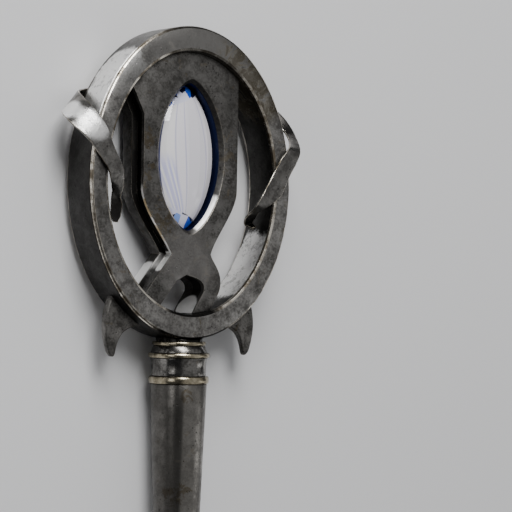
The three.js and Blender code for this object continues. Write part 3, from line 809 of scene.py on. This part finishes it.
def shape_pommel():
    def bead(top):
        points = []
        for i in range(9):
            turn = math.pi * (i / 8 - 0.5)
            points.append((11.2 + 1.4 * math.cos(turn), top - 2.7 + 2.7 * math.sin(turn)))
        return points

    top = SHAFT_END_Y - GAP
    body_end = POMMEL_WIDE_Y - 40.5
    second_top = body_end - 5.4
    second_wide = second_top - 8
    waist = second_wide - 19
    end_wide = waist - 16.5
    butt = end_wide - 22
    profile = [
        (0, butt),
        (9.0, butt),
        (9.5, butt + 0.5),
        (16.9, end_wide - 0.7),
        (16.9, end_wide + 0.7),
        (10.8, waist),
        (16.0, second_wide - 0.7),
        (16.0, second_wide + 0.7),
        (11.4, second_top),
        *bead(body_end),
        (11.2, body_end + 0.4),
        (POMMEL_WIDE_RADIUS, POMMEL_WIDE_Y - 1),
        (POMMEL_WIDE_RADIUS, POMMEL_WIDE_Y + 1),
        (11.2, top - 5.4),
        *bead(top),
        (0, top),
    ]
    piece = round_edges(turn_profile("turned_pommel", profile, 128), 0.35, 2, 15)
    return cut_flat(piece)


# Grip wire

WIRE_RADIUS = 2.2
WIRE_PITCH = 35.6
WIRE_TURNS = 13.5


def wire_point(turns):
    """Where the wire's middle is after a number of turns down the grip."""
    flat = min(1.0, turns)
    steady = max(0.0, turns - 1)
    ease = min(1.0, steady)
    drop = 4.8 * flat**3 + WIRE_PITCH * (steady - 0.25 * ease * (2 - ease))
    wander = 0.045 * WIRE_PITCH * math.sin(2.3 * turns) * ease
    y = GRIP_TOP_Y - 4 - drop - wander
    down = min(1.0, max(0.0, (GRIP_TOP_Y - y) / (GRIP_TOP_Y - SHAFT_END_Y)))
    grip = GRIP_TOP_RADIUS + (GRIP_END_RADIUS - GRIP_TOP_RADIUS) * down
    slack = 1.1 * (1 + math.sin(4.1 * turns + 1)) * ease
    radius = (grip + GAP + WIRE_RADIUS) * 1.02 + slack
    angle = math.pi + 2 * math.pi * turns
    return (radius * math.cos(angle), y, radius * math.sin(angle))


def shape_wire():
    steps = 30
    count = round(WIRE_TURNS * steps)
    piece = draw_line("grip_winding", [wire_point(WIRE_TURNS * i / count) for i in range(count + 1)])
    hold(piece)
    bpy.ops.object.convert(target="CURVE")
    piece.data.bevel_depth = WIRE_RADIUS
    piece.data.bevel_resolution = 2
    piece.data.use_fill_caps = True
    bpy.ops.object.convert(target="MESH")
    return tidy(bpy.context.object, 1e-3)


# Making

ring = lay_down(shape_ring(), "ring")
plate = lay_down(shape_plate(), "setting_plate")
stone = lay_down(shape_stone(), "stone", 7)
claw_left = lay_down(shape_claw("left_fang", -1), "claw_left")
claw_right = lay_down(shape_claw("right_fang", 1), "claw_right")
left_ribbon = shape_strap("left_ribbon", LEFT_STRAP, LEFT_STRAP_WIDTH, -1)
strap_left = lay_down(left_ribbon, "strap_left", 50)
right_ribbon = shape_strap("right_ribbon", RIGHT_STRAP, RIGHT_STRAP_WIDTH, 1)
strap_right = lay_down(right_ribbon, "strap_right", 50)
collar = lay_down(shape_collar(), "collar")
band_top = lay_down(shape_band("top_hoop", BAND_TOP_Y, 2.6, 18.1, 0.9), "band_top")
band_middle = lay_down(
    shape_band("middle_hoop", BAND_MIDDLE_Y, 3.4, 20.4, 1.5, True), "band_middle"
)
band_bottom = lay_down(shape_band("bottom_hoop", BAND_BOTTOM_Y, 5.2, 20, 1.4), "band_bottom")
shaft = lay_down(shape_shaft(), "shaft")
wire = lay_down(shape_wire(), "grip_wire", 60)
pommel = lay_down(shape_pommel(), "pommel", 20)


# Finishes

STAIN = (0.085, 0.066, 0.038)
# NAVY stands for painted shade in the window's recess.
NAVY = (0.008, 0.014, 0.05)


class Flow:
    """A socket's value, which can be used in sums."""

    def __init__(self, finish, socket):
        self.finish = finish
        self.socket = socket

    def maths(self, operation, other, swapped=False):
        pair = (other, self) if swapped else (self, other)
        return self.finish.node("Math", {"operation": operation}, *pair)

    def __add__(self, other):
        return self.maths("ADD", other)

    def __radd__(self, other):
        return self.maths("ADD", other, True)

    def __sub__(self, other):
        return self.maths("SUBTRACT", other)

    def __rsub__(self, other):
        return self.maths("SUBTRACT", other, True)

    def __mul__(self, other):
        return self.maths("MULTIPLY", other)

    def __rmul__(self, other):
        return self.maths("MULTIPLY", other, True)

    def __truediv__(self, other):
        return self.maths("DIVIDE", other)

    def __rtruediv__(self, other):
        return self.maths("DIVIDE", other, True)

    def __pow__(self, power):
        return self.maths("POWER", power)


class Finish:
    """A material whose nodes are added one by one."""

    def __init__(self, name):
        self.material = bpy.data.materials.new(name)
        self.material.use_nodes = True
        self.tree = self.material.node_tree
        self.shader = self.tree.nodes["Principled BSDF"]
        self.place = self.node("TexCoord", {}, output="Object")

    def node(self, kind, settings, *values, output=0, **named):
        """Adds a node, sets it up, and gives its sockets values or links."""
        made = self.tree.nodes.new("ShaderNode" + kind)
        for key, value in settings.items():
            if key == "steps":
                made.color_ramp.interpolation = "CONSTANT"
            elif key == "stops":
                ramp = made.color_ramp
                for i, (spot, colour) in enumerate(value):
                    stop = ramp.elements[i] if i < 2 else ramp.elements.new(spot)
                    stop.position = spot
                    stop.color = (*colour, 1)
            else:
                setattr(made, key, value)
        wanted = list(enumerate(values)) + [(k.replace("_", " "), v) for k, v in named.items()]
        for key, value in wanted:
            self.feed(made.inputs[key], value)
        return Flow(self, made.outputs[output])

    def feed(self, socket, value):
        if isinstance(value, Flow):
            self.tree.links.new(value.socket, socket)
        elif isinstance(value, tuple) and len(value) == 3 and socket.type == "RGBA":
            socket.default_value = (*value, 1)
        else:
            socket.default_value = value

    def set(self, **sockets):
        for key, value in sockets.items():
            self.feed(self.shader.inputs[key.replace("_", " ")], value)
        return self

    def moved(self, scale):
        return self.node("Mapping", {}, Vector=self.place, Scale=scale)

    def noise(self, scale, detail=4.0, rough=0.6, twist=0.0):
        return self.node(
            "TexNoise",
            {},
            Vector=self.place,
            Scale=scale,
            Detail=detail,
            Roughness=rough,
            Distortion=twist,
        )

    def cells(self, scale):
        return self.node("TexVoronoi", {}, Vector=self.place, Scale=scale)

    def between(self, value, low, high):
        """0 below low, 1 above high, with a soft step between."""
        settings = {"interpolation_type": "SMOOTHSTEP"}
        return self.node("MapRange", settings, value, low, high, 0.0, 1.0)

    def blend(self, share, a, b):
        made = self.tree.nodes.new("ShaderNodeMix")
        made.data_type = "RGBA"
        self.feed(made.inputs[0], share)
        self.feed(made.inputs[6], a)
        self.feed(made.inputs[7], b)
        return Flow(self, made.outputs[2])

    def spot(self, point, radius):
        """1 at a point of the sceptre, falling to 0 at a radius in millimetres."""
        away = self.node("VectorMath", {"operation": "DISTANCE"}, self.place, laid(*point), output="Value")
        return 1 - self.between(away, 0.35 * radius * MM, radius * MM)

    def axes(self):
        split = self.node("SeparateXYZ", {}, self.place)
        return [Flow(self, split.socket.node.outputs[i]) for i in range(3)]

    def bumps(self, *layers):
        """Heights in millimetres, laid over each other."""
        height = layers[0]
        for layer in layers[1:]:
            height = height + layer
        normal = self.node("Bump", {}, Strength=1.0, Distance=MM, Height=height)
        return self.set(Normal=normal)

    def wear(self, *pieces, second=None):
        """Dresses pieces in this finish, and their marked edges in a second one."""
        for piece in pieces:
            marks = [face.material_index for face in piece.data.polygons]
            piece.data.materials.clear()
            piece.data.materials.append(self.material)
            if second:
                piece.data.materials.append(second.material)
                for face, mark in zip(piece.data.polygons, marks):
                    face.material_index = min(mark, 1)
        return self


def steel(f, dark, light, stained=0.5, rough=0.34, relief=1.0):
    """Worn steel: fine cloudy patches, brown stains, small pits and grain. Returns its colour."""
    clouds = f.noise(120, 6, 0.68, 0.3)
    grain = f.noise(620, 4, 0.7)
    broad = f.between(f.noise(34, 4, 0.6, 0.5), 0.36, 0.64)
    tone = f.between(clouds * 0.62 + grain * 0.38, 0.38, 0.62)
    colour = f.blend(tone, dark, light)
    colour = f.blend(broad * 0.35, colour, tuple(0.6 * v for v in dark))
    blot = f.between(f.noise(74, 6, 0.72, 0.8), 0.58, 0.65) * stained
    colour = f.blend(blot, colour, STAIN)
    pits = f.between(f.cells(330), 0.22, 0.12) * f.between(f.noise(80, 3, 0.6), 0.5, 0.58)
    colour = f.blend(pits * 0.85, colour, (0.012, 0.011, 0.01))
    f.set(
        Metallic=1.0 - 0.5 * blot,
        Roughness=rough + 0.12 * (1 - tone) + 0.14 * blot + 0.1 * broad + 0.1 * pits,
    )
    f.bumps(grain * (0.09 * relief), clouds * (0.22 * relief), pits * (-0.2 * relief))
    return colour


def brass(name, dark, light, rough=0.28, wear_and_sheen=0.05):
    """Aged brass, bright where hands rub it and brown where they don't."""
    f = Finish(name)
    clouds = f.noise(90, 5, 0.65, 0.5)
    specks = f.noise(600, 4, 0.7)
    tone = f.between(clouds * 0.75 + specks * 0.25, 0.4, 0.62)
    grime = f.between(f.noise(170, 4, 0.7, 0.4), 0.56, 0.7)
    colour = f.blend(tone, dark, light)
    colour = f.blend(grime * 0.35, colour, (0.05, 0.04, 0.024))
    f.set(Base_Color=colour, Metallic=1.0 - 0.25 * grime, Roughness=rough + 0.08 * grime + 0.03 * specks)
    f.bumps(specks * wear_and_sheen)
    return f


def blacken(f, colour, share):
    """Blends a colour towards near-black by a share, mostly as painted shade."""
    return f.blend(share, colour, (0.018, 0.017, 0.016))


def ring_finish():
    """The ring's walls are dark with painted shade, with painted reflections as bright patches at two
    shoulders and painted shade by the collar, and its face is stained.
    """
    f = Finish("ring_steel")
    _, _, z = f.axes()
    colour = steel(f, (0.11, 0.105, 0.099), (0.35, 0.34, 0.325), 0.5)
    low, high = laid(0, 0, -RING_HALF_DEPTH + 0.2).z, laid(0, 0, RING_HALF_DEPTH - 0.6).z
    wall = f.between(z, low, low + 0.4 * MM) * f.between(z, high + 0.4 * MM, high)
    cloudy = f.noise(90, 6, 0.72, 0.5) * 0.6 + f.noise(420, 4, 0.7) * 0.4
    # Painted shade: the ring's walls blended towards black.
    colour = blacken(f, colour, wall * 0.9)
    # Painted reflections: bright, mottled patches on the walls at the upper-left shoulder and the
    # lower-right hollow.
    shoulder = f.spot((-73, 72, 3), 44)
    hollow = f.spot((57, -60, 0), 42)
    back_edge = f.between(z, low + 6 * MM, low + 1.5 * MM)
    bright = f.between((shoulder + hollow) * 0.8 + cloudy - 0.45 * back_edge, 0.74, 1.0) * wall
    reflection_mottle = f.between(cloudy, 0.5, 0.42)
    colour = f.blend(bright, colour, f.blend(reflection_mottle * 0.55, (0.92, 0.915, 0.9), (0.3, 0.29, 0.28)))
    # Painted shade on the walls at the ring's foot, by the collar.
    foot = f.between(f.spot((0, -112, 4), 36), 0.1, 0.6)
    colour = blacken(f, colour, foot * wall)
    # Lighter towards the top of the face and darker towards its left side.
    colour = f.blend(f.spot((0, 104, 15), 62) * 0.45, colour, (0.34, 0.33, 0.315))
    colour = blacken(f, colour, f.spot((-80, -12, 15), 60) * 0.3)
    region = f.between(f.spot((53, 80, 15), 44), 0.0, 0.5)
    flow = f.noise(55, 5, 0.66, 1.4)
    colour = f.blend(region * f.between(flow, 0.42, 0.5) * 0.55, colour, (0.1, 0.08, 0.045))
    streak = f.between(f.node("Math", {"operation": "ABSOLUTE"}, flow - 0.46), 0.03, 0.008)
    colour = f.blend(region * streak * 0.3, colour, (0.34, 0.31, 0.24))
    f.set(Base_Color=colour)
    return f


def round_window(f, x, y):
    """1 inside an oval that takes in the window and its chamfer."""
    wide, tall = (v * MM for v in WINDOW_MOUTH)
    up = y - laid(0, WINDOW_Y, 0).y
    return f.between((x / wide) ** 2 + (up / tall) ** 2, 1.02, 0.98)


def plate_finish():
    """Painted black shade in its side groove and painted shade on its sides, painted reflections as bright
    patches at its waist and legs, a painted warm highlight along the lip, painted navy shade inside the
    window and a painted glint on the window's chamfer.
    """
    f = Finish("plate_steel")
    x, y, z = f.axes()
    colour = steel(f, (0.065, 0.062, 0.058), (0.2, 0.194, 0.185), 0.6, 0.36)
    # Lighter about the waist on the face.
    colour = f.blend(f.spot((0, -55, 11), 34) * 0.5, colour, (0.26, 0.25, 0.24))
    front = laid(0, 0, PLATE_FRONT).z
    behind = f.between(z, front - 0.3 * MM, front - 0.9 * MM)
    groove = f.between(z, front - 3.2 * MM, front - 3.8 * MM)
    groove = groove * f.between(z, front - 13.2 * MM, front - 12.4 * MM)
    waist = laid(0, PLATE_WAIST_Y, 0).y
    cheek = f.between(y, waist + 3 * MM, waist) * f.between(x, -8 * MM, -12 * MM)
    cheek = cheek * f.between(z, front - 13 * MM, front - 12 * MM) * behind
    groove = groove * (1 - cheek)
    rust = f.spot((-37, 29, 11), 11) + f.spot((-36, 6, 11), 10) + f.spot((-23, -28, 11), 17)
    rust = f.between(rust * 0.2 + f.noise(150, 5, 0.7, 0.8), 0.66, 0.72)
    colour = f.blend(rust * 0.6, colour, STAIN)
    # Painted shade on the faces set back behind the front, and painted black shade in the side groove.
    colour = blacken(f, colour, behind * 0.45)
    colour = blacken(f, colour, groove * 0.95)
    # Painted reflections: bright patches on the legs and by the waist; a painted warm highlight along the
    # lip.
    leg = f.spot((-31, -68, -7), 20) + f.spot((9, -90, 0), 15)
    lip = f.between(z, front - 3.3 * MM, front - 2.7 * MM) * behind
    warm = f.between(f.spot((-36, -28, 9), 34) + 0.4 * f.noise(90, 4, 0.6), 0.35, 0.75) * lip
    warm = warm * f.between(y, waist - 12 * MM, waist - 4 * MM)
    tan = f.between(f.noise(110, 3, 0.6), 0.46, 0.54)
    colour = f.blend(warm, colour, f.blend(tan, (0.97, 0.95, 0.92), (0.7, 0.56, 0.34)))
    leg = leg * (1 - cheek) + f.spot((-20, -52, 7), 15) * f.between(lip + cheek, 0, 1)
    left_groove = groove * f.between(x, 0, -2 * MM)
    wear_and_sheen = f.between(leg + 0.3 * f.noise(90, 4, 0.6), 0.35, 0.6) * behind * (1 - left_groove)
    colour = f.blend(wear_and_sheen, colour, (0.95, 0.945, 0.93))
    # Painted navy shade on the window's wall and a painted white glint on its chamfer.
    mouth = round_window(f, x, y)
    wall_top = front - WINDOW_CHAMFER * MM
    inner = f.between(z, wall_top + 0.3 * MM, wall_top - 0.1 * MM)
    colour = f.blend(mouth * inner, colour, NAVY)
    glint = f.between(f.spot((17, -22, 10), 22) + 0.3 * f.noise(160, 4, 0.7), 0.45, 0.8)
    colour = f.blend(mouth * behind * (1 - inner) * glint, colour, (0.95, 0.94, 0.92))
    f.set(Base_Color=colour)
    return f


def strap_finish():
    """Painted highlights on the folds where the straps stand proud, painted shade between them, and painted
    black shade at their turned-in ends.
    """
    f = Finish("ribbon_steel")
    colour = steel(f, (0.1, 0.096, 0.09), (0.3, 0.29, 0.275), 0.4, 0.2)
    cloudy = 0.5 * f.noise(150, 5, 0.7)
    # Painted shade in the middle of the left strap's fold.
    colour = blacken(f, colour, f.between(f.spot((-93, 42, 9), 17) + cloudy, 0.55, 0.9) * 0.55)
    # Painted highlights: two white bands on the left strap's fold.
    fold = f.between(f.spot((-99, 45, 2), 14) + f.spot((-86, 36, 16), 17) + cloudy, 0.4, 1.15)
    colour = f.blend(fold, colour, (0.97, 0.965, 0.95))
    # Painted shade at the turned-in ends and the loop behind the ring.
    ends = f.spot((-62, -25, 8), 17) + f.spot((63, -23, -2), 16) + f.spot((94, 54, -5), 24)
    colour = blacken(f, colour, f.between(ends, 0.1, 0.6) * 0.9)
    f.set(Base_Color=colour)
    return f


def collar_finish():
    """Smooth dark steel, with painted black shade up against the ring."""
    f = Finish("collar_steel")
    _, y, _ = f.axes()
    colour = steel(f, (0.09, 0.086, 0.08), (0.3, 0.29, 0.275), 0.4, 0.13, relief=0.15)
    top = laid(0, BAND_TOP_Y, 0).y
    # Painted shade where the collar meets the ring.
    f.set(Base_Color=blacken(f, colour, f.between(y, top - 0.6 * MM, top + 0.2 * MM)))
    return f


def plain_finish(name, dark, light, stained, rough, relief=1.0):
    f = Finish(name)
    f.set(Base_Color=steel(f, dark, light, stained, rough, relief=relief))
    return f


def shaft_finish():
    """Even, fine-grained and smooth, with painted shade down its left side and a few brown stains."""
    f = Finish("shaft_steel")
    x, _, _ = f.axes()
    colour = steel(f, (0.15, 0.143, 0.132), (0.26, 0.248, 0.23), 0.45, 0.24, relief=0.35)
    stains = f.spot((-6, -149, 19), 8) + f.spot((-13, -218, 12), 13) + f.spot((-3, -213, 17), 7)
    stains = f.between(stains * 0.2 + f.noise(190, 5, 0.7, 1.0), 0.66, 0.73)
    colour = f.blend(stains * 0.6, colour, STAIN)
    # Painted shade down the shaft's left side.
    f.set(Base_Color=blacken(f, colour, f.between(x, -7.5 * MM, -9.5 * MM) * 0.5))
    return f


def edge_wear_and_painted_light():
    """Steel worn bright and a little warm along an edge, partly as painted highlights; painted shade down by
    the collar, darker at the top of the ring, and painted navy shade in the window's mouth.
    """
    f = Finish("steel_edge_wear_and_painted_light")
    x, y, z = f.axes()
    # Wear and painted highlights: bright, warm patches along the edges.
    wear_and_sheen = f.between(f.noise(80, 5, 0.68, 0.3), 0.4, 0.62)
    colour = f.blend(wear_and_sheen, (0.16, 0.135, 0.1), (0.82, 0.77, 0.68))
    # Painted shade by the collar.
    colour = blacken(f, colour, f.between(f.spot((0, -112, 12), 44), 0.05, 0.6))
    # Darker along the edges at the top of the ring.
    colour = blacken(f, colour, f.spot((10, 100, 14), 62) * 0.8)
    # Painted navy shade in the window's mouth.
    wall_top = laid(0, 0, PLATE_FRONT - WINDOW_CHAMFER).z
    mouth = round_window(f, x, y) * f.between(z, wall_top + 1.2 * MM, wall_top + 0.6 * MM)
    colour = f.blend(mouth, colour, NAVY)
    f.set(Base_Color=colour, Metallic=1.0, Roughness=0.36 - 0.12 * wear_and_sheen)
    f.bumps(f.noise(500, 3, 0.6) * 0.05)
    return f


def crystal():
    """Clear milk-white stone; its facet tones and lines, the white and blue streaks low on its left and the
    blue facets at its tips are painted reflections, and the navy rim at its left edge is painted shade.
    """
    f = Finish("clear_stone")
    x, y, _ = f.axes()
    middle = laid(0, WINDOW_Y, 0)
    high = (y - middle.y) / (WINDOW_HALF[1] * MM)
    wide = x / (WINDOW_HALF[0] * MM)
    narrow = f.node("Math", {"operation": "MAXIMUM"}, 1 - high * high, 0.02) ** 0.7
    share = wide / narrow
    tips = f.between(high * high - 0.16 * share, 0.58, 0.61)
    # Painted shade: a navy rim along the stone's left edge.
    rim = f.between(share, -0.83, -0.86)
    # Painted reflections: facet tones, whiter on the left and right and greyer in the middle, and lilac
    # facet lines.
    milk_and_painted_light = f.blend(f.between(share + 0.15 * high, -0.42, -0.38), (1.0, 0.985, 1.0), (0.95, 0.925, 0.98))
    milk_and_painted_light = f.blend(f.between(share + 0.1 * high, -0.1, 0.02) * 0.7, milk_and_painted_light, (0.83, 0.81, 0.87))
    milk_and_painted_light = f.blend(f.between(share, 0.62, 0.72) * 0.8, milk_and_painted_light, (1.0, 0.97, 1.0))
    for spot in (-0.42, -0.1, 0.62):
        away = f.node("Math", {"operation": "ABSOLUTE"}, share + 0.12 * high - spot)
        milk_and_painted_light = f.blend(f.between(away, 0.04, 0.0) * 0.7, milk_and_painted_light, (0.5, 0.48, 0.72))
    # Painted reflections: blue and white streaks low on the stone's left.
    low = f.between(high, 0.1, -0.2)
    for start in (0.9, 0.72, 0.6):
        away = f.node("Math", {"operation": "ABSOLUTE"}, share + 0.5 * high + start)
        milk_and_painted_light = f.blend(f.between(away, 0.16, 0.05) * low * 0.6, milk_and_painted_light, (0.5, 0.5, 0.92))
        milk_and_painted_light = f.blend(f.between(away, 0.05, 0.01) * low, milk_and_painted_light, (1.0, 1.0, 1.0))
    # Painted reflections: the tips' facets in navy, blues and lilac white.
    cut = f.node("TexVoronoi", {}, Vector=f.moved((190, 130, 1)), Scale=1.0, output="Color")
    pick = f.node("SeparateColor", {}, cut)
    stops = [
        (0.0, (0.004, 0.006, 0.03)),
        (0.34, (0.02, 0.09, 0.62)),
        (0.52, (0.25, 0.42, 0.95)),
        (0.66, (0.82, 0.83, 1.0)),
    ]
    facets = f.node("ValToRGB", {"stops": stops, "steps": True}, pick)
    # The tips take the painted facet reflections, and the left edge the painted navy shade.
    colour = f.blend(tips, milk_and_painted_light, facets)
    colour = f.blend(rim * 0.95, colour, (0.006, 0.012, 0.09))
    f.set(
        Base_Color=colour,
        Metallic=0.0,
        Roughness=0.04,
        IOR=1.5,
        Transmission_Weight=0.2,
        Coat_Weight=0.6,
        Coat_Roughness=0.02,
    )
    return f


EDGE = edge_wear_and_painted_light()

ring_finish().wear(ring, second=EDGE)
plate_finish().wear(plate, second=EDGE)
plain_finish("claw_steel", (0.07, 0.067, 0.062), (0.22, 0.212, 0.2), 0.5, 0.34).wear(claw_left, claw_right)
strap_finish().wear(strap_left, strap_right, second=EDGE)
collar_finish().wear(collar)
plain_finish("pommel_steel", (0.16, 0.152, 0.142), (0.42, 0.405, 0.38), 0.5, 0.14, 0.2).wear(pommel)
shaft_finish().wear(shaft)
hoop_brass = brass("hoop_brass", (0.26, 0.225, 0.155), (0.56, 0.5, 0.375), 0.22, 0.02)
hoop_brass.wear(band_top, band_middle, band_bottom)
brass("winding_brass", (0.18, 0.15, 0.1), (0.46, 0.395, 0.28), 0.4).wear(wire)
crystal().wear(stone)


# Floor and light


def lay_floor():
    deselect()
    bpy.ops.mesh.primitive_plane_add(size=14, location=(0, 0.5, 0))
    floor = bpy.context.object
    floor.name = "floor"
    finish = Finish("pale_floor")
    grain = finish.noise(3, 2, 0.5)
    finish.set(Base_Color=finish.blend(grain * 0.3, (0.76, 0.76, 0.77), (0.82, 0.82, 0.83)), Roughness=0.7)
    finish.wear(floor)


def light_panel(name, place, aim, size, strength):
    data = bpy.data.lights.new(name, "AREA")
    data.shape = "RECTANGLE"
    data.size, data.size_y = size
    data.energy = strength
    panel = bpy.data.objects.new(name, data)
    panel.location = place
    panel.rotation_euler = (Vector(aim) - Vector(place)).to_track_quat("-Z", "Y").to_euler()
    bpy.context.scene.collection.objects.link(panel)


def glow(size, radiance):
    """The power of a panel of a size that is to look this bright."""
    return radiance * math.pi * size[0] * size[1]


def set_lights():
    world = bpy.data.worlds.new("studio")
    world.use_nodes = True
    sky = world.node_tree.nodes["Background"]
    sky.inputs["Color"].default_value = (0.93, 0.96, 1, 1)
    sky.inputs["Strength"].default_value = 0.05
    bpy.context.scene.world = world
    head = Vector((0, 0.78, 0.02))
    panels = (
        ("key", (-0.22, 0.72, 0.66), 2.7, (1.2, 1.9), 13),
        ("ceiling", (0.42, -0.1, 0.9), 2.0, (3.9, 3.6), 0.36),
        ("left_strip", (-0.9, 0.13, 0.41), 2.4, (1.5, 0.9), 1.5),
        ("right_strip", (0.88, -0.25, 0.38), 2.4, (0.5, 1.4), 1.0),
    )
    for name, way, distance, size, radiance in panels:
        light_panel(name, head + Vector(way).normalized() * distance, head, size, glow(size, radiance))


lay_floor()
set_lights()
